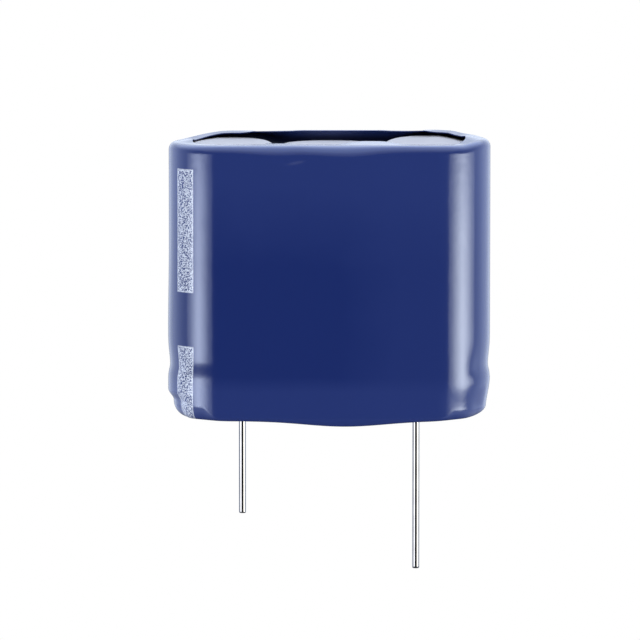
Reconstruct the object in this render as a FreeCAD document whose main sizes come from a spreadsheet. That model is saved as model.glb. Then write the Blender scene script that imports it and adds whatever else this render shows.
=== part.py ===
import FreeCAD, Part
import math
import os

import Sketcher

# Sleeved supercapacitor module: three round cells in a row, wired in series under their seals.
# X runs along the row, Y across it and Z up the cells, in millimetres.
# The origin lies midway between the two leads, on the plane of the sleeve's lower rim.

SIZES = {
    # cans
    "can_diameter": "8.08",
    "can_length": "19.43",
    "can_wall": "0.3",
    "can_top_radius": "0.4",
    "can_lip_width": "0.8",
    "bead_height": "2.55",
    "bead_width": "0.9",
    "bead_depth": "0.34",
    "cell_gap": "0.02",
    # seals and tab bosses
    "fit_gap": "0.02",
    "boss_diameter": "1.0",
    "weld_depth": "0.05",
    # leads, links and solder
    "lead_diameter": "0.55",
    "lead_along": "1.44",
    "lead_across": "0.99",
    "negative_length": "7.5",
    "positive_length": "11.5",
    "under_space": "1.65",
    "link_height": "0.95",
    "link_bend": "0.6",
    "stub_end": "0.35",
    "solder_diameter": "1.1",
    "solder_height": "0.9",
    # film
    "film_thickness": "0.16",
    "film_gap": "0.03",
    "waist_depth": "0.13",
    "waist_front": "0.03",
    "lower_radius": "1.0",
    "lower_height": "1.35",
    "lower_step": "0.42",
    "lower_flange": "0.3",
    "lower_lift": "0.1",
    "front_flange": "0.65",
    "end_flange": "1.3",
    "rear_flange": "1.0",
    "front_fold": "90",
    "end_fold": "80",
    "rear_fold": "30",
}

# The film's inner skin keeps these rings of the outer one, and runs straight past the waist
INNER_RINGS = (0, 1, 5, 7, 11, 14, 15)
CELLS = ("left", "middle", "right")
SIDES = {"left": -1, "middle": 0, "right": 1}


class Size:
    """A size worked out from cells of the sheet: its number, and the expression that binds it."""

    def __init__(self, value, text):
        self.value = value
        self.text = text

    def joined(self, sign, other, value):
        return Size(value, "(%s %s %s)" % (self.text, sign, other.text))

    def __add__(self, other):
        other = as_size(other)
        return self.joined("+", other, self.value + other.value)

    def __sub__(self, other):
        other = as_size(other)
        return self.joined("-", other, self.value - other.value)

    def __mul__(self, other):
        other = as_size(other)
        return self.joined("*", other, self.value * other.value)

    def __truediv__(self, other):
        other = as_size(other)
        return self.joined("/", other, self.value / other.value)

    def __rsub__(self, other):
        return as_size(other) - self

    def __neg__(self):
        return as_size(0) - self

    __radd__ = __add__
    __rmul__ = __mul__


def as_size(number):
    """A bare number as a Size, so that both kinds can be mixed."""
    if isinstance(number, Size):
        return number
    return Size(float(number), "%r" % float(number))


doc = FreeCAD.newDocument("supercapacitor")
sheet = doc.addObject("Spreadsheet::Sheet", "Sizes")
for row, (alias, number) in enumerate(SIZES.items(), start=1):
    sheet.set("A%d" % row, alias)
    sheet.set("B%d" % row, number)
    sheet.setAlias("B%d" % row, alias)
doc.recompute()


def cell_size(alias):
    """The sheet's own cell as a Size."""
    return Size(float(sheet.get(alias)), "Sizes.%s" % alias)


# Heights and radii that several pieces share
can_radius = cell_size("can_diameter") / 2
can_wall = cell_size("can_wall")
can_inside = can_radius - can_wall
can_bottom = cell_size("under_space")
can_top = can_bottom + cell_size("can_length")
lip_radius = can_radius - cell_size("can_lip_width")
bead_middle = can_bottom + cell_size("bead_height")
bead_half = cell_size("bead_width") / 2
bead_depth = cell_size("bead_depth")
fit_gap = cell_size("fit_gap")
pitch = cell_size("can_diameter") + cell_size("cell_gap")
bung_bottom = can_bottom + can_wall + fit_gap
bung_top = bead_middle - bead_half - can_wall / 2
weld_height = bung_bottom + cell_size("weld_depth")
lead_radius = cell_size("lead_diameter") / 2
boss_radius = cell_size("boss_diameter") / 2
solder_radius = cell_size("solder_diameter") / 2
lead_along = cell_size("lead_along")
lead_across = cell_size("lead_across")

parts = {}


def bind(thing, **sizes):
    """Set properties of an object to expressions on the sheet; a double underscore stands for a dot."""
    for name, size in sizes.items():
        thing.setExpression(name.replace("__", "."), as_size(size).text)


def place(thing, x=0, y=0, z=0):
    """Bind the place of an object to the sheet."""
    bind(thing, Placement__Base__x=x, Placement__Base__y=y, Placement__Base__z=z)


def keep(thing, label):
    """Note an object as a finished sub-part under its own name."""
    thing.Label = label
    parts[label] = thing
    return thing


def plane_of(body, role):
    """One of the body's own origin planes."""
    return next(plane for plane in body.Origin.OriginFeatures if plane.Role == role)


def sketch_on(body, name, role, lift=None):
    """A sketch on an origin plane of its body, lifted along the plane's normal where a height is given."""
    sketch = body.newObject("Sketcher::SketchObject", name)
    sketch.AttachmentSupport = [(plane_of(body, role), "")]
    sketch.MapMode = "FlatFace"
    if lift is not None:
        bind(sketch, AttachmentOffset__Base__z=lift)
    return sketch


def pin_point(sketch, edge, end, along, up):
    """Hold one end of a sketch edge at bound distances from the sketch's origin."""
    for kind, size in (("DistanceX", along), ("DistanceY", up)):
        size = as_size(size)
        index = sketch.addConstraint(Sketcher.Constraint(kind, -1, 1, edge, end, size.value))
        sketch.setExpression("Constraints[%d]" % index, size.text)


def draw_outline(sketch, corners, closed=True):
    """Straight lines from corner to corner, each corner bound as (along, up)."""
    points = [FreeCAD.Vector(as_size(along).value, as_size(up).value, 0) for along, up in corners]
    ends = points[1:] + points[:1] if closed else points[1:]
    edges = [sketch.addGeometry(Part.LineSegment(*pair)) for pair in zip(points, ends)]
    for edge, corner in zip(edges, corners):
        pin_point(sketch, edge, 1, *corner)
    for edge, following in zip(edges, edges[1:]):
        sketch.addConstraint(Sketcher.Constraint("Coincident", edge, 2, following, 1))
    if closed:
        sketch.addConstraint(Sketcher.Constraint("Coincident", edges[-1], 2, edges[0], 1))
    else:
        pin_point(sketch, edges[-1], 2, *corners[-1])


def draw_circle(sketch, x, y, radius):
    """A circle with a bound centre and radius."""
    centre = FreeCAD.Vector(as_size(x).value, as_size(y).value, 0)
    edge = sketch.addGeometry(Part.Circle(centre, FreeCAD.Vector(0, 0, 1), radius.value))
    pin_point(sketch, edge, 3, x, y)
    index = sketch.addConstraint(Sketcher.Constraint("Radius", edge, radius.value))
    sketch.setExpression("Constraints[%d]" % index, radius.text)


def turned(body, corners):
    """A solid of revolution about the body's Z axis from a half section of (radius, height) corners."""
    sketch = sketch_on(body, "half_section", "XZ_Plane")
    draw_outline(sketch, corners)
    turn = body.newObject("PartDesign::Revolution", "turn")
    turn.Profile = sketch
    turn.ReferenceAxis = (sketch, ["V_Axis"])
    turn.Angle = 360
    sketch.Visibility = False
    doc.recompute()
    return turn


def make_can(cell):
    """Sealed cell in its drawn can: flat top with an eased edge, rolled bead above the seal, and a mouth
    for the seal with a lip turned in under it."""
    body = keep(doc.addObject("PartDesign::Body", "can_" + cell), "can_" + cell)
    top_ease = cell_size("can_top_radius")
    turned(body, [
        (lip_radius, can_bottom),
        (can_radius, can_bottom),
        (can_radius, bead_middle - bead_half),
        (can_radius - bead_depth, bead_middle),
        (can_radius, bead_middle + bead_half),
        (can_radius, can_top - top_ease),
        (can_radius - top_ease, can_top),
        (0, can_top),
        (0, bung_top + fit_gap),
        (can_inside, bung_top + fit_gap),
        (can_inside, can_bottom + can_wall),
        (lip_radius, can_bottom + can_wall),
    ])
    place(body, x=pitch * SIDES[cell])


def make_bung(cell):
    """Rubber seal: a disc held between the can's lip and its bead, with a hole for each tab's boss."""
    body = keep(doc.addObject("PartDesign::Body", "bung_" + cell), "bung_" + cell)
    sketch = sketch_on(body, "disc", "XY_Plane", bung_bottom)
    draw_circle(sketch, 0, 0, can_inside - fit_gap)
    for sign in (-1, 1):
        draw_circle(sketch, sign * lead_along, sign * lead_across, boss_radius + fit_gap)
    pad = body.newObject("PartDesign::Pad", "thickness")
    pad.Profile = sketch
    bind(pad, Length=bung_top - bung_bottom)
    place(body, x=pitch * SIDES[cell])


def cylinder(name, radius, bottom, top, x=0, y=0):
    """An upright round bar between two heights."""
    bar = doc.addObject("Part::Cylinder", name)
    bind(bar, Radius=radius, Height=top - bottom)
    place(bar, x, y, bottom)
    return bar


def cut(name, base, tool):
    """A solid less the space of its tool."""
    result = doc.addObject("Part::Cut", name)
    result.Base = base
    result.Tool = tool
    return result


def make_boss(cell, polarity, sign):
    """Round aluminium end of a tab, held in the seal, where a lead is welded on."""
    name = "%s_boss_%s" % (polarity, cell)
    x = pitch * SIDES[cell] + sign * lead_along
    keep(cylinder(name, boss_radius, weld_height, bung_top, x, sign * lead_across), name)


def make_lead(name, sign, length):
    """Straight tinned lead from its weld in the seal to its cut end below the sleeve."""
    keep(cylinder(name, lead_radius, -length, weld_height, -sign * (pitch - lead_along), sign * lead_across), name)


def make_stub(name, sign):
    """Lead of the middle cell, cut short where its link is soldered on."""
    keep(cylinder(name, lead_radius, cell_size("stub_end"), weld_height,
                  sign * lead_along, sign * lead_across), name)


def make_link(name, sign):
    """Lead of an outer cell, bent over under the cells and run to the middle cell's stub."""
    body = keep(doc.addObject("PartDesign::Body", name), name)
    height = cell_size("link_height")
    bend = cell_size("link_bend")
    reach = pitch - solder_radius
    path = sketch_on(body, "route", "XZ_Plane")
    draw_outline(path, [(0, weld_height), (0, height + bend), (bend, height), (reach, height)], closed=False)
    section = sketch_on(body, "wire", "XY_Plane", weld_height)
    draw_circle(section, 0, 0, lead_radius)
    doc.recompute()
    pipe = body.newObject("PartDesign::AdditivePipe", "bent_wire")
    pipe.Profile = section
    pipe.Spine = path
    pipe.Transition = "Right corner"
    doc.recompute()
    if sign > 0:
        body.Placement.Rotation = FreeCAD.Rotation(FreeCAD.Vector(0, 0, 1), 180)
    place(body, sign * (pitch + lead_along), sign * lead_across)
    return body


def make_solder(name, sign):
    """Solder drawn round the middle cell's stub, where the link's end is sunk against it."""
    middle = cell_size("link_height")
    reach = cell_size("solder_height") / 2
    x = sign * lead_along
    y = sign * lead_across
    collar = cylinder(name + "_collar", solder_radius, middle - reach, middle + reach, x, y)
    wire = cylinder(name + "_wire", lead_radius, middle - reach, middle + reach, x, y)
    keep(cut(name, collar, wire), name)


def lower_film(waist):
    """Outline of the film from its lower rim up to the straight wall, as (inset, height) points: a flange,
    a rounded lip, the can's turned edge, and the waist where the film sinks over the bead."""
    bend = cell_size("lower_radius").value
    tall = cell_size("lower_height").value
    step = cell_size("lower_step").value
    cover = cell_size("film_gap").value + cell_size("film_thickness").value
    points = [(step + bend + cell_size("lower_flange").value, cell_size("lower_lift").value)]
    for angle in (90, 67.5, 45, 22.5, 0):
        lean = math.radians(angle)
        points.append((step + bend - bend * math.cos(lean), tall - tall * math.sin(lean)))
    for angle in (45, 0):
        lean = math.radians(angle)
        points.append((cover * (1 - math.cos(lean)), can_bottom.value - cover * math.sin(lean)))
    half = bead_half.value
    for share, depth in ((-1, 0), (0, 1), (1, 0)):
        points.append((waist * depth, bead_middle.value + half * share))
    return points


def upper_film(fold, flange):
    """Outline of the film over the can's upper edge, as (inset, height) points: an arc that turns
    through the fold angle, and a straight flange."""
    cover = cell_size("film_gap").value + cell_size("film_thickness").value
    bend = cell_size("can_top_radius").value + cover
    start = can_top.value + cover - bend
    points = [(0, start)]
    for share in (1 / 3, 2 / 3, 1):
        lean = math.radians(fold * share)
        points.append((bend * (1 - math.cos(lean)), start + bend * math.sin(lean)))
    inset, height = points[-1]
    lean = math.radians(fold)
    points.append((inset + flange * math.sin(lean), height + flange * math.cos(lean)))
    return points


def inner_film(points):
    """The same outline one film thickness further in, square to the line through each point's neighbours."""
    thickness = cell_size("film_thickness").value
    result = []
    for index, (inset, height) in enumerate(points):
        before = points[max(index - 1, 0)]
        after = points[min(index + 1, len(points) - 1)]
        run = after[0] - before[0]
        rise = after[1] - before[1]
        length = math.hypot(run, rise)
        result.append((inset + thickness * rise / length, height - thickness * run / length))
    return result


def film_ring(front, end, rear):
    """One round of the film: a straight edge along the front and the rear, and an arc round each end."""
    half_depth = can_radius.value + cell_size("film_gap").value + cell_size("film_thickness").value
    middle = pitch.value
    front_y = front[0] - half_depth
    rear_y = half_depth - rear[0]
    end_x = middle + half_depth - end[0]
    end_y = (front_y + rear_y) / 2
    front_right = FreeCAD.Vector(middle, front_y, front[1])
    front_left = FreeCAD.Vector(-middle, front_y, front[1])
    rear_right = FreeCAD.Vector(middle, rear_y, rear[1])
    rear_left = FreeCAD.Vector(-middle, rear_y, rear[1])
    return Part.Wire([
        Part.makeLine(front_left, front_right),
        Part.Arc(front_right, FreeCAD.Vector(end_x, end_y, end[1]), rear_right).toShape(),
        Part.makeLine(rear_right, rear_left),
        Part.Arc(rear_left, FreeCAD.Vector(-end_x, end_y, end[1]), front_left).toShape(),
    ])


def film_skin(outlines):
    """One side of the film and its two rims, from the outlines at the front, the end and the rear."""
    rings = [film_ring(*places) for places in zip(*outlines)]
    return Part.makeLoft(rings, False, True).Faces, rings[0], rings[-1]


def make_sleeve():
    """Shrunk film round the three cells: waisted at its ends over the bead, tucked under at the bottom, folded
    flat over the cans along the front, and left standing along the rear."""
    outlines = []
    for side, waist in (("front", "waist_front"), ("end", "waist_depth"), ("rear", "waist_front")):
        fold = cell_size(side + "_fold").value
        flange = cell_size(side + "_flange").value
        outlines.append(lower_film(cell_size(waist).value) + upper_film(fold, flange))
    outer_faces, outer_low, outer_high = film_skin(outlines)
    inner_outlines = []
    for outline in outlines:
        whole = inner_film(outline)
        inner_outlines.append([whole[ring] for ring in INNER_RINGS])
    inner_faces, inner_low, inner_high = film_skin(inner_outlines)
    faces = outer_faces + inner_faces
    for outer_rim, inner_rim in ((outer_low, inner_low), (outer_high, inner_high)):
        for outer_edge, inner_edge in zip(outer_rim.Edges, inner_rim.Edges):
            faces.append(Part.makeRuledSurface(outer_edge, inner_edge))
    film = Part.makeCompound(faces)
    film.sewShape(0.001)
    solid = Part.makeSolid(film.Shells[0])
    if solid.Volume < 0:
        solid.reverse()
    sleeve = keep(doc.addObject("Part::Feature", "shrink_sleeve"), "shrink_sleeve")
    sleeve.Shape = solid


make_sleeve()
for cell in CELLS:
    make_can(cell)
    make_bung(cell)
    make_boss(cell, "negative", 1)
    make_boss(cell, "positive", -1)
make_lead("negative_lead", 1, cell_size("negative_length"))
make_lead("positive_lead", -1, cell_size("positive_length"))
for side, sign, polarity in (("left", -1, "positive"), ("right", 1, "negative")):
    make_stub("middle_%s_stub" % polarity, sign)
    make_link(side + "_link_lead", sign)
    make_solder(side + "_solder_joint", sign)
doc.recompute()

for thing in doc.Objects:
    if "Invalid" in thing.State or "Error" in thing.State:
        raise RuntimeError("%s did not build: %s" % (thing.Label, thing.State))
for label, thing in parts.items():
    if thing.Shape.isNull() or not thing.Shape.isValid():
        raise RuntimeError("%s has no valid shape" % label)

os.makedirs("parts", exist_ok=True)
for label, thing in parts.items():
    thing.Shape.exportStep("parts/%s.step" % label)
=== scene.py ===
import math
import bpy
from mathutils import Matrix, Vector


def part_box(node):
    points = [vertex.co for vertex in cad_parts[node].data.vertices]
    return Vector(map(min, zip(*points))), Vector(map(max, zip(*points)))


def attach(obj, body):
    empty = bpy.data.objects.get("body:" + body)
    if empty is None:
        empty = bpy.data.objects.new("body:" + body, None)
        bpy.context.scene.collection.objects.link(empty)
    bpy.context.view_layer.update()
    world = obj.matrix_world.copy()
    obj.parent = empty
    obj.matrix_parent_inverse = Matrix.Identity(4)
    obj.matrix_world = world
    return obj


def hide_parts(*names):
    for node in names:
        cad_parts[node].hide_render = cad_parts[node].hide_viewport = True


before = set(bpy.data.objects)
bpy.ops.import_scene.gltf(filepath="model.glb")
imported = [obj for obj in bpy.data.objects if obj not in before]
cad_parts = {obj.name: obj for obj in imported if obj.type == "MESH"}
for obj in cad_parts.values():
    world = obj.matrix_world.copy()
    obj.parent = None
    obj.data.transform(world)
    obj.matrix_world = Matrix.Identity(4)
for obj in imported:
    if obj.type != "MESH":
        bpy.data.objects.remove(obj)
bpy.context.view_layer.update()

from types import SimpleNamespace

import bpy
import numpy as np
from mathutils import Vector

# Three round cells in a row under one shrunk film, seen from the front and a little above.
# Shapes are worked out in millimetres in the CAD model's frame: X along the row, -Y to the camera, Z up.
MM = 0.001


def span(node):
    """Lowest and highest corner of a CAD node, in millimetres."""
    low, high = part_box(node)
    return np.array(low) / MM, np.array(high) / MM


# Sizes read from the frame
can_low, can_high = span("can_middle")
CAN_RADIUS = (can_high[0] - can_low[0]) / 2
CAN_BOTTOM, CAN_TOP = can_low[2], can_high[2]
PITCH = span("can_right")[1][0] - CAN_RADIUS
HALF_DEPTH = span("shrink_sleeve")[1][1]
BUNG_LOW, BUNG_HIGH = (corner[2] for corner in span("bung_middle"))
LEAD_RADIUS = (span("positive_lead")[1][0] - span("positive_lead")[0][0]) / 2

# Film, in millimetres and degrees. Three kinds of values are in brackets:
# a stretch is where a change begins and ends, along the row, up the wall or by the film's outward direction,
# a plateau is the stretch where something comes in and the stretch where it goes out again,
# and a wave is a height, a place along the row and a width.
FILM_THICKNESS = 0.16
RIM_SHARE = 0.45
LOWER_THINNING, UPPER_THINNING = (0, 0.1), (0, 0.25)
COLUMNS = 420
ROUND = 4 * PITCH + 2 * math.pi * HALF_DEPTH
SIDE_TURN = (0.1, 0.95)

# Film: the upper rim, which stands up along the middle of the rear and has two tongues over the front
SHOULDER_RADIUS = 0.6
SHOULDER_WAVES = ((0.3, -3.9, 2.6), (0.4, 1.4, 2.8))
FILM_OVER_CAN = 0.19
STANDING_REAR = ((-7.0, -1.8), (3.8, 8.4))
LEFT_TONGUE = ((-5.4, -4.4), (-3.2, -2.4))
RIGHT_TONGUE = ((0.2, 2.8), (3.8, 6.6))
FRONT_FOLD, END_FOLD, REAR_FOLD = 90, 82, 98
TONGUE_LIFT, STANDING_LIFT = 2, 70
FRONT_FLANGE, END_FLANGE, REAR_FLANGE = 0.65, 1.4, 0.72
LEFT_TONGUE_LENGTH, RIGHT_TONGUE_LENGTH, STANDING_LENGTH = 0.8, 1.9, 0.28
REAR_CREST = 1.14
CREST_WAVES = ((0.06, 7.9, 1.6),)
CREST_REACH = ((-12.8, -7.4), (9.4, 13.0))
RIGHT_END_LIFT, RIGHT_END = 0.24, (10.2, 12.0)
LIFT_FROM = 17

# Film: the lower rim, and the step from it out over the cans' lower edge
LIP_FLANGE, LIP_FLANGE_LIFT = 0.25, 0.06
LEFT_LIP, RIGHT_LIP, LONG_LIP = 1.1, 1.2, 0.45
LIP_TOP, LEFT_LIP_RISE, RIGHT_LIP_RISE = 0.5, 0.9, 0.6
LIP_ROUND = (0.93, 1.0)
RIM_HEIGHT, RIGHT_RIM_HEIGHT = 0.2, 0.3
BOW_DEPTH, BOW_PLACE, BOW_WIDTH = 0.42, 1.2, 4.3
CORNER_RISE, CORNERS = 0.1, (7.5, 10.5)
LEFT_STEP, LEFT_STEP_ROUND = 0.42, (0.5, 0.87)
RIGHT_STEP, RIGHT_STEP_ROUND = 0.19, (0.55, 0.9)
RIGHT_DRAW, RIGHT_DRAW_ALONG = 0.1, (5.5, 9.0)
STEP_TOP, RIGHT_STEP_RISE, STEP_RISE_ALONG = 2.3, 0.9, (0, 8)
LEFT_STEP_EASE, RIGHT_STEP_EASE = 0.05, -0.2

# Film: the wall, with a waist over the bead at both ends and a swelling at the lower left corner
BEAD_HEIGHT = 4.2
WAIST_DEPTH, WAIST_ROUND = 0.15, (0.6, 0.88)
WAIST_ABOVE, WAIST_BELOW = 1.2, 0.52
SWELLING, SWELLING_UP = 0.08, (3.3, 4.9)
SWELLING_TURN, SWELLING_ALONG = (0.5, 0.75), (-8.4, -6.2)
DENT_DEPTH, DENT_PLACE, DENT_WIDTH = 0.09, 20.4, 0.9
DENT_WAVES = ((1, -3.7, 2.4), (1, 4.1, 2.6))
SLACK_DEPTH, SLACK_PLACE, SLACK_WIDTH = 0.035, 12, 3.5
SLACK_WAVES = ((1, -4, 2.4), (1, 4, 2.4))
CREASE_DEPTH, CREASE_UP, CREASE_SLOPE = 0.06, 20.0, 0.2
CREASE_ALONG, CREASE_WIDTH = -2.4, 0.9
CREASE_SIDES = ((-0.2, 0.2), (0.3, 1.2))
LEFT_TAPER, TAPER_UP = 0.08, (6.5, 14)

# Film: rows of points, where the wall has more of them near both of its ends
LIP_FLANGE_ROWS, LIP_ROWS, STEP_ROWS, SHOULDER_ROWS, FLANGE_ROWS = 6, 18, 14, 16, 12
WALL_ROWS = ((0, 0.22, 26), (0.22, 0.86, 14), (0.86, 1, 30))

# Cans: rounded edges, the mouth for the seal, the bead, and the slope of the top of each can
CAN_WALL, CAN_EDGE, MOUTH_EDGE = 0.3, 0.7, 0.15
MOUTH_RADIUS = CAN_RADIUS - 0.8
SEAL_GAP = 0.02
HUB_RADIUS = 0.4
BEAD_DEPTH, BEAD_WIDTH, BEAD_REACH = 0.34, 0.45, 1.1
PLAIN_WALL_FROM = 6
CAN_COLUMNS = 144
TILTS = {"left": 0.28, "middle": 0.0, "right": 0.42}
TILT_FROM, TILT_FADE = 12, (0, 0.75)

# Wires and solder
CUT_EDGE, CUT_ROUND = 0.06, (-0.01, 0.06)
LINK_BEND = 0.55
SOLDER_FEATHER, SOLDER_FIT, SOLDER_FULLNESS = 0.03, 0.004, 0.6


def smooth(low, high, value):
    """Smooth step: 0 below low, 1 above high, and 3t^2 - 2t^3 between."""
    t = np.clip((value - low) / (high - low), 0, 1)
    return t * t * (3 - 2 * t)


def plateau(stretches, value):
    """1 between two stretches and 0 outside them: a smooth step up times a smooth step down."""
    rising, falling = stretches
    return smooth(*rising, value) * (1 - smooth(*falling, value))


def hump(centre, width, value):
    """Bell curve of height 1: exp(-((value - centre) / width)^2)."""
    return np.exp(-((value - centre) / width) ** 2)


def waves(shapes, value):
    """Sum of bell curves, each with its own height, place and width."""
    return sum(height * hump(centre, width, value) for height, centre, width in shapes)


def grid_faces(rows, columns, wrap_rows):
    """Four-cornered faces of a grid whose columns close on themselves, row after row."""
    count = rows if wrap_rows else rows - 1
    row, column = np.meshgrid(np.arange(count), np.arange(columns), indexing="ij")
    after_row, after_column = (row + 1) % rows, (column + 1) % columns
    corners = (row * columns + column, row * columns + after_column,
               after_row * columns + after_column, after_row * columns + column)
    return np.stack(corners, axis=-1).reshape(-1, 4)


def enclosed(points, faces):
    """Six times the volume inside a closed mesh: the sum of a . (b x c) over its triangles."""
    total = 0.0
    for second, third in ((1, 2), (2, 3))[:faces.shape[1] - 2]:
        a, b, c = points[faces[:, 0]], points[faces[:, second]], points[faces[:, third]]
        total += np.einsum("ij,ij->", a, np.cross(b, c))
    return total


def make_piece(name, points, face_sets, sharp=40):
    """An object from points in millimetres and arrays of faces, turned outwards and shaded smooth."""
    if sum(enclosed(points, faces) for faces in face_sets) < 0:
        face_sets = [faces[:, ::-1] for faces in face_sets]
    polygons = [face for faces in face_sets for face in faces.tolist()]
    mesh = bpy.data.meshes.new(name)
    mesh.from_pydata(points * MM, [], polygons, shade_flat=False)
    mesh.set_sharp_from_angle(angle=math.radians(sharp))
    piece = bpy.data.objects.new(name, mesh)
    bpy.context.scene.collection.objects.link(piece)
    return piece


def wrapped(name, grid, sharp=40):
    """A ring-shaped piece from a grid that closes on itself both ways."""
    rows, columns = grid.shape[:2]
    return make_piece(name, grid.reshape(-1, 3), [grid_faces(rows, columns, True)], sharp)


def capped(name, grid, start, end):
    """A rod-shaped piece from a grid of rings, closed by a fan of triangles to a point at each end."""
    rows, columns = grid.shape[:2]
    points = np.vstack([grid.reshape(-1, 3), start, end])
    around = np.arange(columns)
    after = (around + 1) % columns
    last = (rows - 1) * columns
    lower = np.stack([np.full(columns, rows * columns), after, around], axis=-1)
    upper = np.stack([np.full(columns, rows * columns + 1), last + around, last + after], axis=-1)
    return make_piece(name, points, [grid_faces(rows, columns, False), lower, upper])


def turned_grid(profile, centre, columns):
    """Rings of a lathe form: (x + r cos a, y + r sin a, z) for each (r, z) of the profile."""
    angle = np.linspace(0, 2 * math.pi, columns, endpoint=False)
    radius, height = profile[:, :1], profile[:, 1:]
    x = centre[0] + radius * np.cos(angle)
    y = centre[1] + radius * np.sin(angle)
    return np.stack([x, y, np.broadcast_to(height, x.shape)], axis=-1)


def corner_arc(centre, radius, first, last, count):
    """Points (r, z) of a rounded corner: centre + radius (cos a, sin a) between two angles in degrees."""
    angle = np.radians(np.linspace(first, last, count))
    return np.stack([centre[0] + radius * np.cos(angle), centre[1] + radius * np.sin(angle)], axis=-1)


def run(first, last, count):
    """Points evenly along the straight line between two points."""
    return np.linspace(np.array(first, float), np.array(last, float), count)


class Shade:
    """A socket in a material's node tree. Sums, products and the like of shades add Math nodes."""

    def __init__(self, tree, socket=None):
        self.tree = tree
        self.socket = socket

    def node(self, kind, settings=None, inputs=None, output=0):
        """Add a node: its settings are set first, then values or links go into its sockets."""
        made = self.tree.nodes.new(kind)
        for key, value in (settings or {}).items():
            setattr(made, key, value)
        for key, value in (inputs or {}).items():
            if isinstance(value, Shade):
                self.tree.links.new(value.socket, made.inputs[key])
            else:
                made.inputs[key].default_value = value
        return Shade(self.tree, made.outputs[output])

    def sibling(self, name):
        """Another output of the node that this shade comes from."""
        return Shade(self.tree, self.socket.node.outputs[name])

    def maths(self, operation, *values):
        """A Math node on these values."""
        return self.node("ShaderNodeMath", {"operation": operation}, dict(enumerate(values)))

    def __add__(self, other):
        return self.maths("ADD", self, other)

    def __sub__(self, other):
        return self.maths("SUBTRACT", self, other)

    def __rsub__(self, other):
        return self.maths("SUBTRACT", other, self)

    def __mul__(self, other):
        return self.maths("MULTIPLY", self, other)

    def __abs__(self):
        return self.maths("ABSOLUTE", self)

    __radd__ = __add__
    __rmul__ = __mul__

    def between(self, low, high, soft):
        """1 between two values and 0 outside, with an edge that is as wide as soft."""
        rise = self.ramp(low - soft / 2, low + soft / 2)
        return rise * (1 - self.ramp(high - soft / 2, high + soft / 2))

    def ramp(self, low, high, to_low=0.0, to_high=1.0):
        """A clamped straight run from one value to another."""
        inputs = {"Value": self, "From Min": low, "From Max": high, "To Min": to_low, "To Max": to_high}
        return self.node("ShaderNodeMapRange", {"clamp": True}, inputs)

    def blend(self, first, second):
        """A colour that goes from the first to the second as this shade goes from 0 to 1."""
        settings = {"data_type": "RGBA"}
        return self.node("ShaderNodeMix", settings, {0: self, 6: first, 7: second}, output=2)

    def parts(self):
        """The three numbers of a vector."""
        first = self.node("ShaderNodeSeparateXYZ", None, {0: self})
        return [first.sibling(axis) for axis in "XYZ"]

    def noise(self, scale, detail=2.0, squeeze=None):
        """Noise from 0 to 1, so many features to the metre. A squeeze under 1 on an axis draws it out."""
        place = self
        if squeeze:
            place = self.node("ShaderNodeMapping", None, {"Vector": self, "Scale": squeeze})
        return self.node("ShaderNodeTexNoise", None, {"Vector": place, "Scale": scale, "Detail": detail})

    def bump(self, distance, strength):
        """A normal that follows this shade as a height in metres."""
        inputs = {"Height": self, "Distance": distance, "Strength": strength}
        return self.node("ShaderNodeBump", None, inputs)


def material(name, paint):
    """A material whose surface inputs come from a paint function of the Object coordinates."""
    made = bpy.data.materials.new(name)
    made.use_nodes = True
    tree = made.node_tree
    surface = tree.nodes["Principled BSDF"]
    place = Shade(tree).node("ShaderNodeTexCoord").sibling("Object")
    for key, value in paint(place).items():
        if isinstance(value, Shade):
            tree.links.new(value.socket, surface.inputs[key])
        else:
            surface.inputs[key].default_value = value
    return made


def dress(piece, finish, slot=None, *nodes):
    """Give a piece its finish. With a slot name, it also joins the root body and the CAD nodes it stands for
    are hidden.
    """
    piece.data.materials.clear()
    piece.data.materials.append(finish)
    if slot:
        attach(piece, "root")
        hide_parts(*nodes)


# Film: its form

def film_round():
    """The oval that the film follows: for each column the centre of curvature on the X axis, and the
    direction straight out of the film."""
    end = math.pi * HALF_DEPTH
    along = (np.arange(COLUMNS) / COLUMNS + 0.5) % 1 * ROUND
    knots = np.cumsum([0, PITCH, end, 2 * PITCH, end, PITCH])
    turn = np.interp(along, knots, [0, 0, math.pi, math.pi, 2 * math.pi, 2 * math.pi])
    centre = np.interp(along, knots, [0, PITCH, PITCH, -PITCH, -PITCH, 0])
    return centre, np.sin(turn), -np.cos(turn)


def film_sides():
    """Each column's place on the oval, and how far it belongs to the front, the rear and the ends, which add
    up to 1. Flat is 0 at the tip of an end and 1 along the front and the rear."""
    centre, out_x, out_y = film_round()
    x = centre + HALF_DEPTH * out_x
    front, rear = smooth(*SIDE_TURN, -out_y), smooth(*SIDE_TURN, out_y)
    side = 1 - front - rear
    return SimpleNamespace(centre=centre, out_x=out_x, out_y=out_y, x=x, flat=np.abs(out_y), front=front,
                           rear=rear, side=side, left_end=side * (x < 0), right_end=side * (x > 0))


def swelling(at):
    """How far the film stands out at the lower left corner, for each column."""
    return SWELLING * smooth(*SWELLING_TURN, -at.out_y) * (1 - smooth(*SWELLING_ALONG, at.x))


def step_top(at):
    """Height where the step over the cans' lower edge ends: it is higher towards the right."""
    return STEP_TOP + RIGHT_STEP_RISE * smooth(*STEP_RISE_ALONG, at.x)


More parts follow.
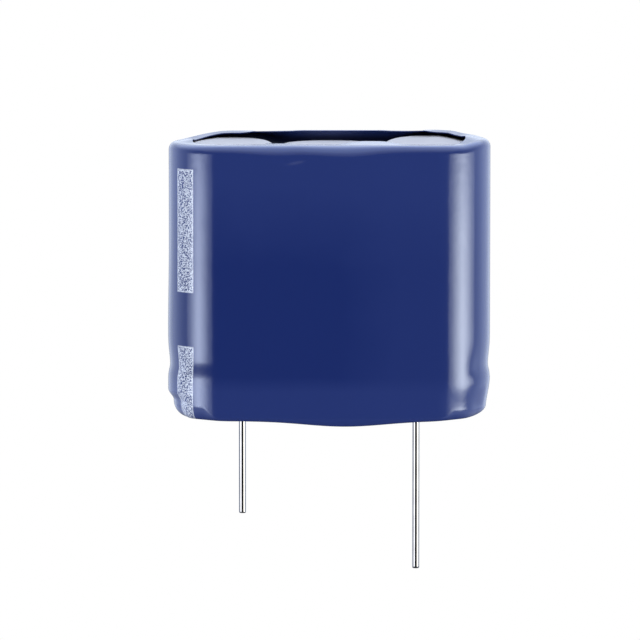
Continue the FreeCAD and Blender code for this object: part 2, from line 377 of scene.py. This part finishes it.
def lower_rows(at):
    """Rows of the lower rim as insets and heights: a flange that rises by t^2 inwards, a lip with the inset
    1 - cos a and the height 1 - sin a, and a step that fades out upwards along a smooth step."""
    left = at.x < 0
    bow = BOW_DEPTH * hump(BOW_PLACE, BOW_WIDTH, at.x)
    front_rim = RIM_HEIGHT - bow + CORNER_RISE * smooth(*CORNERS, np.abs(at.x))
    bottom = front_rim * at.front + RIM_HEIGHT * (at.left_end + at.rear) + RIGHT_RIM_HEIGHT * at.right_end
    draw = RIGHT_DRAW * smooth(*RIGHT_DRAW_ALONG, at.x)
    left_step = LEFT_STEP * (1 - smooth(*LEFT_STEP_ROUND, at.flat))
    right_step = RIGHT_STEP * (1 - smooth(*RIGHT_STEP_ROUND, at.flat)) + draw
    step = np.where(left, left_step, right_step)
    ease = np.where(left, LEFT_STEP_EASE, RIGHT_STEP_EASE)
    lip = LEFT_LIP * at.left_end + RIGHT_LIP * at.right_end + LONG_LIP * (at.front + at.rear)
    lip_rise = np.where(left, LEFT_LIP_RISE, RIGHT_LIP_RISE)
    lip_top = LIP_TOP + lip_rise * (1 - smooth(*LIP_ROUND, at.flat))
    foot = swelling(at)

    t = np.linspace(1, 0, LIP_FLANGE_ROWS)[:, None]
    insets = [step + lip + LIP_FLANGE * t]
    heights = [LIP_FLANGE_LIFT * t * t + bottom]
    lean = np.radians(np.linspace(90, 0, LIP_ROWS))[1:, None]
    insets.append(step + lip * (1 - np.cos(lean)) - foot * np.cos(lean))
    heights.append(lip_top + (bottom - lip_top) * np.sin(lean))
    t = np.linspace(0, 1, STEP_ROWS)[1:, None]
    insets.append(step * (1 - smooth(ease, 1, t)) / (1 - smooth(ease, 1, 0)) - foot)
    heights.append(lip_top + (step_top(at) - lip_top) * t)
    return np.vstack(insets), np.vstack(heights)


def shoulder_line(at):
    """Radius of the shoulder's arc, which waves make larger at the front, and the height where it starts."""
    bend = SHOULDER_RADIUS + waves(SHOULDER_WAVES, at.x) * at.front
    return bend, CAN_TOP + FILM_OVER_CAN - bend


def fold_line(at):
    """Angle through which the shoulder turns, and the length of the flange beyond it."""
    standing = plateau(STANDING_REAR, at.x)
    left_tongue = plateau(LEFT_TONGUE, at.x) * at.front
    right_tongue = plateau(RIGHT_TONGUE, at.x) * at.front
    fold = (FRONT_FOLD * at.front - TONGUE_LIFT * right_tongue + END_FOLD * at.side
            + (REAR_FOLD - STANDING_LIFT * standing) * at.rear)
    flange = (FRONT_FLANGE * at.front + LEFT_TONGUE_LENGTH * left_tongue + RIGHT_TONGUE_LENGTH * right_tongue
              + END_FLANGE * at.side + (REAR_FLANGE + STANDING_LENGTH * standing) * at.rear)
    return fold, flange


def rim_rise(at):
    """How far the film is pulled up: along the rear until its rim is at the crest, and at the right end."""
    bend, _ = shoulder_line(at)
    fold, flange = fold_line(at)
    lean = np.radians(np.minimum(fold, 90))
    lacking = REAR_CREST + waves(CREST_WAVES, at.x) - (bend * np.sin(lean) + flange * np.cos(lean))
    rear_rise = np.maximum(lacking, 0) * at.rear * plateau(CREST_REACH, at.x)
    return rear_rise + RIGHT_END_LIFT * smooth(*RIGHT_END, at.x)


def wall_rows(at):
    """Rows of the wall from the step up to the shoulder. The inset is the sum of a waist over the bead, two
    dents under the shoulder, slack between the cans, a slanting crease and the left end's taper, less the
    swelling."""
    foot, low = swelling(at), step_top(at)
    _, shoulder = shoulder_line(at)
    t = np.concatenate([np.linspace(first, last, count)[1:] for first, last, count in WALL_ROWS])[:, None]
    wall = low + (shoulder - low) * t
    waist_width = np.where(wall > BEAD_HEIGHT, WAIST_ABOVE, WAIST_BELOW)
    waist = WAIST_DEPTH * (1 - smooth(*WAIST_ROUND, at.flat)) * hump(BEAD_HEIGHT, waist_width, wall)
    dent = DENT_DEPTH * hump(DENT_PLACE, DENT_WIDTH, wall) * waves(DENT_WAVES, at.x) * at.front
    slack_share = waves(SLACK_WAVES, at.x) * (at.front + at.rear)
    slack = SLACK_DEPTH * hump(SLACK_PLACE, SLACK_WIDTH, wall) * slack_share
    line = wall - CREASE_UP - CREASE_SLOPE * (at.x - CREASE_ALONG)
    crease_share = hump(CREASE_ALONG, CREASE_WIDTH, at.x) * at.front
    crease = CREASE_DEPTH * plateau(CREASE_SIDES, line) * crease_share
    taper = LEFT_TAPER * smooth(*TAPER_UP, wall) * at.left_end
    swell = foot * (1 - smooth(*SWELLING_UP, wall))
    inset = waist + dent + slack + crease + taper - swell
    height = wall + rim_rise(at) * smooth(LIFT_FROM, shoulder, wall)
    return inset, height


def upper_rows(at, wall_top):
    """Rows of the upper rim, from the inset at the wall's top: an arc with the inset r (1 - cos a) and the
    height r sin a that turns through the fold angle, and a straight flange in the direction it ends with."""
    bend, shoulder = shoulder_line(at)
    fold, flange = fold_line(at)
    lean = np.radians(np.linspace(0, 1, SHOULDER_ROWS)[1:, None] * fold)
    insets = [wall_top * np.cos(lean) + bend * (1 - np.cos(lean))]
    heights = [shoulder + rim_rise(at) + bend * np.sin(lean)]
    t = np.linspace(0, 1, FLANGE_ROWS)[1:, None]
    lean = np.radians(fold)
    insets.append(insets[0][-1] + flange * t * np.sin(lean))
    heights.append(heights[0][-1] + flange * t * np.cos(lean))
    return np.vstack(insets), np.vstack(heights)


def film_grid():
    """Outer face of the film, row by row from its lower rim to its upper rim: at an inset and a height, each
    column's point is centre + (depth - inset) outwards."""
    at = film_sides()
    lower, wall = lower_rows(at), wall_rows(at)
    upper = upper_rows(at, wall[0][-1])
    inset, height = (np.vstack(rows) for rows in zip(lower, wall, upper))
    reach = HALF_DEPTH - inset
    return np.stack([at.centre + reach * at.out_x, reach * at.out_y, height], axis=-1)


def inward(grid):
    """Direction into the film at each point of its outer face: the cross product of its two slopes."""
    up = np.gradient(grid, axis=0)
    around = np.roll(grid, -1, axis=1) - np.roll(grid, 1, axis=1)
    normal = np.cross(up, around)
    return normal / np.linalg.norm(normal, axis=-1, keepdims=True)


def make_film():
    """The film as one closed skin: its outer face, then every second row of its inner face, one thickness
    further in, back to the lower rim. It thins towards both rims. The map on it runs once round, and from
    the lower rim over both faces. The outer face's share of that map comes back with the piece."""
    outer = film_grid()
    place = np.linspace(0, 1, len(outer))[:, None, None]
    full = smooth(*LOWER_THINNING, place) * smooth(*UPPER_THINNING, 1 - place)
    inner = outer + FILM_THICKNESS * (RIM_SHARE + (1 - RIM_SHARE) * full) * inward(outer)
    grid = np.concatenate([outer, inner[::-2]])
    film = wrapped("shrink_film", grid, sharp=60)
    rows = len(grid)
    row, column = np.meshgrid(np.arange(rows), np.arange(COLUMNS), indexing="ij")
    corners_row = np.stack([row, row, row + 1, row + 1], axis=-1)
    corners_column = np.stack([column, column + 1, column + 1, column], axis=-1)
    chart = np.stack([corners_column / COLUMNS, corners_row / rows], axis=-1).reshape(-1, 4, 2)
    loops = np.empty(len(film.data.loops), dtype=np.int32)
    film.data.loops.foreach_get("vertex_index", loops)
    flipped = loops[1] != 1
    layer = film.data.uv_layers.new(name="film_round")
    layer.data.foreach_set("uv", (chart[:, ::-1] if flipped else chart).astype(np.float32).ravel())
    return film, len(outer) / rows


# Cells, wires and solder

def make_can(cell, x):
    """Cell can on a lathe: a mouth for the seal, a rolled lower edge, the bead, and a rounded upper edge.
    The cells stand a little unevenly: the top rises by the tilt to the rear, but not under the film's ends.
    """
    tilt = TILTS[cell]
    bead = np.linspace(-BEAD_REACH, BEAD_REACH, 23)
    edge_radius = CAN_RADIUS - CAN_EDGE
    profile = np.vstack([
        run((HUB_RADIUS, BUNG_HIGH + SEAL_GAP), (CAN_RADIUS - CAN_WALL, BUNG_HIGH + SEAL_GAP), 8),
        run((CAN_RADIUS - CAN_WALL, BUNG_LOW - SEAL_GAP), (MOUTH_RADIUS, BUNG_LOW - SEAL_GAP), 4),
        corner_arc((MOUTH_RADIUS, CAN_BOTTOM + MOUTH_EDGE), MOUTH_EDGE, 180, 270, 6),
        corner_arc((edge_radius, CAN_BOTTOM + CAN_EDGE), CAN_EDGE, 270, 360, 12),
        np.stack([CAN_RADIUS - BEAD_DEPTH * hump(0, BEAD_WIDTH, bead), BEAD_HEIGHT + bead], axis=-1),
        run((CAN_RADIUS, PLAIN_WALL_FROM), (CAN_RADIUS, CAN_TOP - CAN_EDGE), 12),
        corner_arc((edge_radius, CAN_TOP - CAN_EDGE), CAN_EDGE, 0, 90, 14)[1:],
        run((edge_radius, CAN_TOP), (HUB_RADIUS, CAN_TOP), 12)[1:],
    ])
    grid = turned_grid(profile, (x, 0), CAN_COLUMNS)
    rearward = (1 + grid[..., 1] / CAN_RADIUS) / 2
    outward = np.sign(x) * (grid[..., 0] - x) / CAN_RADIUS
    upward = smooth(TILT_FROM, CAN_TOP, grid[..., 2])
    grid[..., 2] += tilt * upward * rearward * (1 - smooth(*TILT_FADE, outward))
    return capped("can_" + cell + "_shell", grid, (x, 0, profile[0, 1]), (x, 0, CAN_TOP + tilt / 2))


def tube_grid(path, radius, columns=40):
    """Rings along a path in a plane of constant Y: the path + radius (cos a side + sin a Y), where side is
    square to the path in that plane."""
    ahead = np.gradient(path, axis=0)
    ahead /= np.linalg.norm(ahead, axis=-1, keepdims=True)
    side = np.stack([-ahead[:, 2], np.zeros(len(path)), ahead[:, 0]], axis=-1)[:, None]
    angle = np.linspace(0, 2 * math.pi, columns, endpoint=False)[None, :, None]
    across = np.array([0.0, 1.0, 0.0])
    return path[:, None] + radius[:, None, None] * (np.cos(angle) * side + np.sin(angle) * across)


def make_wire(name, path):
    """Tinned wire along a path, with a slightly rounded edge at both cut ends."""
    length = np.concatenate([[0], np.cumsum(np.linalg.norm(np.diff(path, axis=0), axis=-1))])
    ends = np.minimum(length, length[-1] - length)
    radius = LEAD_RADIUS - CUT_EDGE * (1 - smooth(*CUT_ROUND, ends))
    return capped(name, tube_grid(path, radius), path[0], path[-1])


def straight(node, count=60):
    """Path of an upright wire through the middle of its CAD node, closer together at both ends."""
    low, high = span(node)
    middle = (low + high) / 2
    height = low[2] + (high[2] - low[2]) * (1 - np.cos(np.linspace(0, math.pi, count))) / 2
    return np.stack([np.full(count, middle[0]), np.full(count, middle[1]), height], axis=-1)


def link_path(node, sign):
    """Path of a link: down from the seal, round a quarter bend, and level towards the middle cell."""
    low, high = span(node)
    y = (low[1] + high[1]) / 2
    level = low[2] + LEAD_RADIUS
    bend_top = level + LINK_BEND
    foot = high[0] - LEAD_RADIUS if sign > 0 else low[0] + LEAD_RADIUS
    far = low[0] if sign > 0 else high[0]
    lean = np.radians(np.linspace(0, 90, 14))
    bend_x, bend_z = foot - sign * LINK_BEND * (1 - np.cos(lean)), bend_top - LINK_BEND * np.sin(lean)
    down = np.stack([np.full(6, foot), np.linspace(high[2], bend_top, 6)], axis=-1)
    curve = np.stack([bend_x, bend_z], axis=-1)[1:]
    across = np.stack([np.linspace(foot - sign * LINK_BEND, far, 20), np.full(20, level)], axis=-1)[1:]
    route = np.vstack([down, curve, across])
    return np.stack([route[:, 0], np.full(len(route), y), route[:, 1]], axis=-1)


def make_solder(name, node):
    """Solder round a stub: a ring whose outer radius is r0 + (r1 - r0) (1 - s^2)^0.6 over its height, s from
    -1 to 1, so that it runs out thin on the wire above and below."""
    low, high = span(node)
    middle = (low + high) / 2
    share = np.sin(np.linspace(-1, 1, 25) * math.pi / 2)
    thin = LEAD_RADIUS + SOLDER_FEATHER
    radius = thin + ((high[0] - low[0]) / 2 - thin) * (1 - share ** 2) ** SOLDER_FULLNESS
    outer = np.stack([radius, middle[2] + share * (high[2] - low[2]) / 2], axis=-1)
    bore = LEAD_RADIUS + SOLDER_FIT
    inner = run((bore, high[2]), (bore, low[2]), 12)
    return wrapped(name, turned_grid(np.vstack([outer, inner]), middle, 48))


# Finishes: colours, and where the film's print and its painted light lie, in millimetres round it and up it
WHITE = (1, 1, 1, 1)
# The deep blue is the film's own colour; the paler blue is painted light.
DEEP_BLUE, PAINTED_LIGHT_BLUE = (0.0085, 0.0215, 0.131, 1), (0.0182, 0.0352, 0.166, 1)
# The inner face's blue is painted shade.
INNER_SHADE_BLUE = (0.0015, 0.0040, 0.030, 1)
PRINT_SILVER = (0.60, 0.635, 0.695, 1)
GLOSS_TINT = (0.84, 0.90, 1.0, 1)
FILM_IOR = 1.62
BAR_ROUND, BAR_EDGE = (10.445, 12.157), 0.05
UPPER_BAR, LOWER_BAR_TOP, BAR_END_EDGE = (9.995, 19.41), (5.83, 5.89), 0.06
PRINT_BORDER = 0.11
# Stretches where the film is painted paler as painted light: at the top, towards the right and at the foot.
PAINTED_LIGHT_TOP, PAINTED_LIGHT_RIGHT, PAINTED_LIGHT_FOOT = (12.0, 18.0), (1.0, 5.0), (2.5, 3.6)


def print_field(leftwards, height, inset):
    """Mask of the two printed bars at the left end, drawn in from their edges by an inset: one up the wall,
    and one that runs down over the lower lip."""
    (first, last), (low, high) = BAR_ROUND, UPPER_BAR
    across = leftwards.between(first + inset, last - inset, BAR_EDGE)
    upper = height.between(low + inset, high - inset, BAR_END_EDGE)
    lower = 1 - height.ramp(LOWER_BAR_TOP[0] - inset, LOWER_BAR_TOP[1] - inset)
    return across * (upper + lower)


def film_paint(outer_share):
    """Glossy blue film with painted light: paler at the top, towards the right and at the foot. It
    has fine ripples, an inner face painted dark as shade, and grainy silver print on its outer face."""
    def paint(place):
        around, up, _ = place.node("ShaderNodeUVMap", {"uv_map": "film_round"}).parts()
        across, _, height = [axis * (1 / MM) for axis in place.parts()]
        outside = 1 - up.ramp(outer_share - 0.01, outer_share)
        inside = up.ramp(outer_share, outer_share + 0.02)
        leftwards = (0.5 - around) * ROUND
        bar = print_field(leftwards, height, 0) * outside
        core = print_field(leftwards, height, PRINT_BORDER)
        grain = place.noise(10000, 1.0).ramp(0.43, 0.56)
        print_mask = bar * (grain * core + (1 - core) * (grain * 0.45 + 0.55))
        # Painted light: the film is paler at the top, towards the right and at the foot, with a wavering
        # edge.
        drift = (place.noise(260, 3.0) - 0.5) * 3
        kept_above = 1 - (height + drift).ramp(*PAINTED_LIGHT_TOP, 0, 0.8)
        kept_right = 1 - (across + drift).ramp(*PAINTED_LIGHT_RIGHT, 0, 0.45)
        kept_below = 1 - (height + drift * 0.1).ramp(*PAINTED_LIGHT_FOOT, 0.8, 0)
        painted_light = 1 - kept_above * kept_right * kept_below
        # Painted shade: the inner face is painted dark.
        blue = inside.blend(painted_light.blend(DEEP_BLUE, PAINTED_LIGHT_BLUE), INNER_SHADE_BLUE)
        ripple = place.noise(420, 2.0, (1, 1, 0.5)) + place.noise(2600, 2.0) * 0.12
        return {
            "Base Color": print_mask.blend(blue, PRINT_SILVER),
            "Metallic": print_mask * 0.4,
            "Roughness": print_mask.ramp(0, 1, 0.16, 0.4) + inside * 0.25,
            "IOR": FILM_IOR,
            "Specular Tint": GLOSS_TINT,
            "Normal": ripple.bump(0.00006, 0.35),
        }
    return paint


def can_paint(place):
    """Drawn aluminium with a pale etched skin: fine lines up the wall and soft cloudy patches."""
    lines = place.noise(9000, 2.0, (1, 1, 0.02))
    cloud = place.noise(500, 3.0)
    return {
        "Base Color": cloud.ramp(0.3, 0.7).blend((0.370, 0.372, 0.397, 1), (0.428, 0.430, 0.455, 1)),
        "Metallic": 0.2,
        "Roughness": lines * 0.1 + cloud * 0.1 + 0.5,
        "Normal": lines.bump(0.00001, 0.15),
    }


def rubber_paint(place):
    """Matt black rubber with a fine grain and a dusty bloom."""
    grain = place.noise(7000, 3.0)
    bloom = place.noise(700, 3.0)
    return {
        "Base Color": bloom.ramp(0.35, 0.75).blend((0.014, 0.014, 0.015, 1), (0.035, 0.035, 0.036, 1)),
        "Roughness": grain.ramp(0.2, 0.8, 0.55, 0.8),
        "Normal": grain.bump(0.00003, 0.4),
    }


def boss_paint(place):
    """Bare aluminium with a crushed, mottled face."""
    mottle = place.noise(4000, 3.0)
    return {
        "Base Color": mottle.ramp(0.3, 0.7).blend((0.60, 0.61, 0.63, 1), (0.76, 0.77, 0.79, 1)),
        "Metallic": 1.0,
        "Roughness": mottle.ramp(0.2, 0.8, 0.3, 0.5),
        "Normal": mottle.bump(0.00003, 0.3),
    }


def tin_paint(place):
    """Bright tinned wire with faint draw lines along it and duller patches."""
    lines = place.noise(14000, 2.0, (1, 1, 0.03))
    patch = place.noise(900, 3.0)
    return {
        "Base Color": patch.ramp(0.35, 0.7).blend((0.190, 0.180, 0.165, 1), (0.230, 0.220, 0.203, 1)),
        "Metallic": 1.0,
        "Roughness": lines.ramp(0.3, 0.7, 0.05, 0.09),
        "Normal": lines.bump(0.000004, 0.1),
    }


def solder_paint(place):
    """Satin solder with a frosted skin."""
    frost = place.noise(5000, 3.0)
    return {
        "Base Color": frost.ramp(0.3, 0.7).blend((0.62, 0.63, 0.65, 1), (0.76, 0.77, 0.79, 1)),
        "Metallic": 1.0,
        "Roughness": frost.ramp(0.2, 0.8, 0.2, 0.42),
        "Normal": frost.bump(0.00003, 0.4),
    }


film, outer_share = make_film()
dress(film, material("blue_film", film_paint(outer_share)), "film", "shrink_sleeve")

aluminium = material("drawn_aluminium", can_paint)
rubber = material("black_rubber", rubber_paint)
bare_boss = material("bare_aluminium", boss_paint)
for cell, x in (("left", -PITCH), ("middle", 0.0), ("right", PITCH)):
    dress(make_can(cell, x), aluminium, "can", "can_" + cell)
    dress(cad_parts["bung_" + cell], rubber)
    for polarity in ("negative", "positive"):
        dress(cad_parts["%s_boss_%s" % (polarity, cell)], bare_boss)

tin = material("tinned_wire", tin_paint)
for node in ("negative_lead", "positive_lead", "middle_negative_stub", "middle_positive_stub"):
    dress(make_wire(node + "_wire", straight(node)), tin, "lead", node)
for side, sign in (("left", -1), ("right", 1)):
    node = side + "_link_lead"
    dress(make_wire(node + "_wire", link_path(node, sign)), tin, "lead", node)

frosted = material("satin_solder", solder_paint)
for side in ("left", "right"):
    node = side + "_solder_joint"
    dress(make_solder(node + "_ring", node), frosted, "solder", node)


# Studio, in metres and degrees
FLOOR_SIZE, FLOOR_LEVEL = 0.22, -0.06
PAPER_GREY = (0.55, 0.55, 0.55, 1)
CARD_TINT = (0.84, 0.95, 1.25, 1)
WALL_TINT, REAR_TINT = (0.84, 0.97, 1.28, 1), (0.80, 0.89, 1.04, 1)
FILM_MIDDLE = 10.5 * MM

# Lamps: name, azimuth, elevation, distance, size and radiance
LAMPS = (("rear_high", 180, 36, 0.5, (0.4, 0.16), 0.4), ("key", 0, 40, 0.6, (1.0, 0.5), 0.4))

# Strips: name, azimuth, radiance, colour, and the widths of boxes one behind the other for a soft edge
STRIPS = (("left_strip", -52, 1.85, (0.87, 0.92, 1.05), (0.07, 0.148, 0.222, 0.30, 0.44)),
          ("right_strip", 59, 2.32, (0.98, 1.0, 1.0), (0.07, 0.155, 0.237, 0.323, 0.462)))
STRIP_ELEVATION, STRIP_DISTANCE, STRIP_SPACING, STRIP_HEIGHT = -8, 0.40, 0.004, 0.07

CAMERA_AIM = (-0.00069, 0, 0.00754)
CAMERA_ELEVATION, CAMERA_DISTANCE, FRAME_WIDTH = 6.3, 0.5, 0.04904


def make_floor():
    """A pale floor below the leads. The camera sees it plain white. Mirrored, it is dim below the object and
    has white cards at both sides. It is clear from below."""
    size, level = FLOOR_SIZE, FLOOR_LEVEL
    mesh = bpy.data.meshes.new("studio_floor")
    corners = [(-size, -size, level), (size, -size, level), (size, size, level), (-size, size, level)]
    mesh.from_pydata(corners, [], [(0, 1, 2, 3)])
    floor = bpy.data.objects.new("studio_floor", mesh)
    bpy.context.scene.collection.objects.link(floor)
    paper = bpy.data.materials.new("pale_paper")
    paper.use_nodes = True
    tree = paper.node_tree
    start = Shade(tree)
    surface = tree.nodes["Principled BSDF"]
    surface.inputs["Base Color"].default_value = PAPER_GREY
    surface.inputs["Roughness"].default_value = 0.9
    seen = start.node("ShaderNodeLightPath")
    mirrored = seen.sibling("Is Glossy Ray")
    across = start.node("ShaderNodeTexCoord").sibling("Object").parts()[0]
    cards = abs(across).ramp(0.03, 0.11, 0.12, 1.15)
    glow = {"Color": mirrored.blend(WHITE, CARD_TINT), "Strength": seen + mirrored * cards}
    white = start.node("ShaderNodeEmission", None, glow)
    plain = seen + mirrored
    mixed = start.node("ShaderNodeMixShader", None, {0: plain, 1: Shade(tree, surface.outputs[0]), 2: white})
    below = start.node("ShaderNodeNewGeometry").sibling("Backfacing")
    clear = start.node("ShaderNodeBsdfTransparent")
    sided = start.node("ShaderNodeMixShader", None, {0: below, 1: mixed, 2: clear})
    tree.links.new(sided.socket, tree.nodes["Material Output"].inputs["Surface"])
    floor.data.materials.append(paper)


def make_world():
    """Plain white where the camera looks. Mirrored, it is a cool studio with walls from dim in front to
    bright behind, a bright ceiling, and a dim gap low behind the object. Its even light is stronger from
    the sides."""
    world = bpy.data.worlds.new("studio")
    bpy.context.scene.world = world
    world.use_nodes = True
    tree = world.node_tree
    start = Shade(tree)
    across, depth, up = start.node("ShaderNodeTexCoord").parts()
    camera_ray = start.node("ShaderNodeLightPath")
    seen = start.maths("MAXIMUM", camera_ray, camera_ray.sibling("Is Transmission Ray"))
    mirrored = camera_ray.sibling("Is Glossy Ray")
    beside = abs(across)
    low_rear = (1 - beside.ramp(0.12, 0.4)) * depth.ramp(0, 0.3) * (1 - up.ramp(-0.02, 0.06))
    rearward = depth.ramp(-0.72, 0.5, 0.04, 1.5) * depth.ramp(0.6, 1.0, 1.0, 1.1)
    walls = rearward * across.ramp(-1, 1, 0.98, 1.1)
    ceiling = up.ramp(0.4, 0.85) * depth.ramp(-0.8, 0.6, 0.9, 2.8)
    studio = (walls + ceiling) * (1 - 0.85 * low_rear)
    even = beside.ramp(0, 1, 0.42, 1.12)
    strength = seen + mirrored * studio + (1 - seen - mirrored) * even
    tint = mirrored.blend(WHITE, depth.ramp(0.5, 0.95).blend(WALL_TINT, REAR_TINT))
    tree.links.new(strength.socket, tree.nodes["Background"].inputs["Strength"])
    tree.links.new(tint.socket, tree.nodes["Background"].inputs["Color"])


def make_softbox(name, azimuth, elevation, distance, size, radiance, colour=(1, 1, 1)):
    """A soft box at an azimuth from the camera's side, evenly bright and turned to the film's middle."""
    lamp = bpy.data.lights.new(name, "AREA")
    lamp.shape = "RECTANGLE"
    lamp.size, lamp.size_y = size
    lamp.energy = radiance * math.pi * size[0] * size[1]
    lamp.color = colour
    box = bpy.data.objects.new(name, lamp)
    bpy.context.scene.collection.objects.link(box)
    turn, lift = math.radians(azimuth), math.radians(elevation)
    offset = Vector((math.sin(turn) * math.cos(lift), -math.cos(turn) * math.cos(lift), math.sin(lift)))
    box.location = Vector((0, 0, FILM_MIDDLE)) + offset * distance
    box.rotation_euler = (-offset).to_track_quat("-Z", "Y").to_euler()


def make_camera(aim, elevation, distance, frame_width):
    """A camera in front and a little above, whose frame is so wide at the point it looks at."""
    data = bpy.data.cameras.new("camera")
    camera = bpy.data.objects.new("camera", data)
    bpy.context.scene.collection.objects.link(camera)
    lift = math.radians(elevation)
    offset = Vector((0, -math.cos(lift), math.sin(lift)))
    camera.location = Vector(aim) + offset * distance
    camera.rotation_euler = (-offset).to_track_quat("-Z", "Y").to_euler()
    data.sensor_fit = "HORIZONTAL"
    data.angle = 2 * math.atan(frame_width / 2 / distance)
    data.clip_start, data.clip_end = 0.01, 20
    bpy.context.scene.camera = camera


make_floor()
make_world()
for name, azimuth, radiance, colour, widths in STRIPS:
    for layer, width in enumerate(widths):
        distance = STRIP_DISTANCE + STRIP_SPACING * layer
        make_softbox(name, azimuth, STRIP_ELEVATION, distance, (width, STRIP_HEIGHT), radiance, colour)
for lamp in LAMPS:
    make_softbox(*lamp)
make_camera(CAMERA_AIM, CAMERA_ELEVATION, CAMERA_DISTANCE, FRAME_WIDTH)
bpy.context.scene.view_settings.view_transform = "Standard"
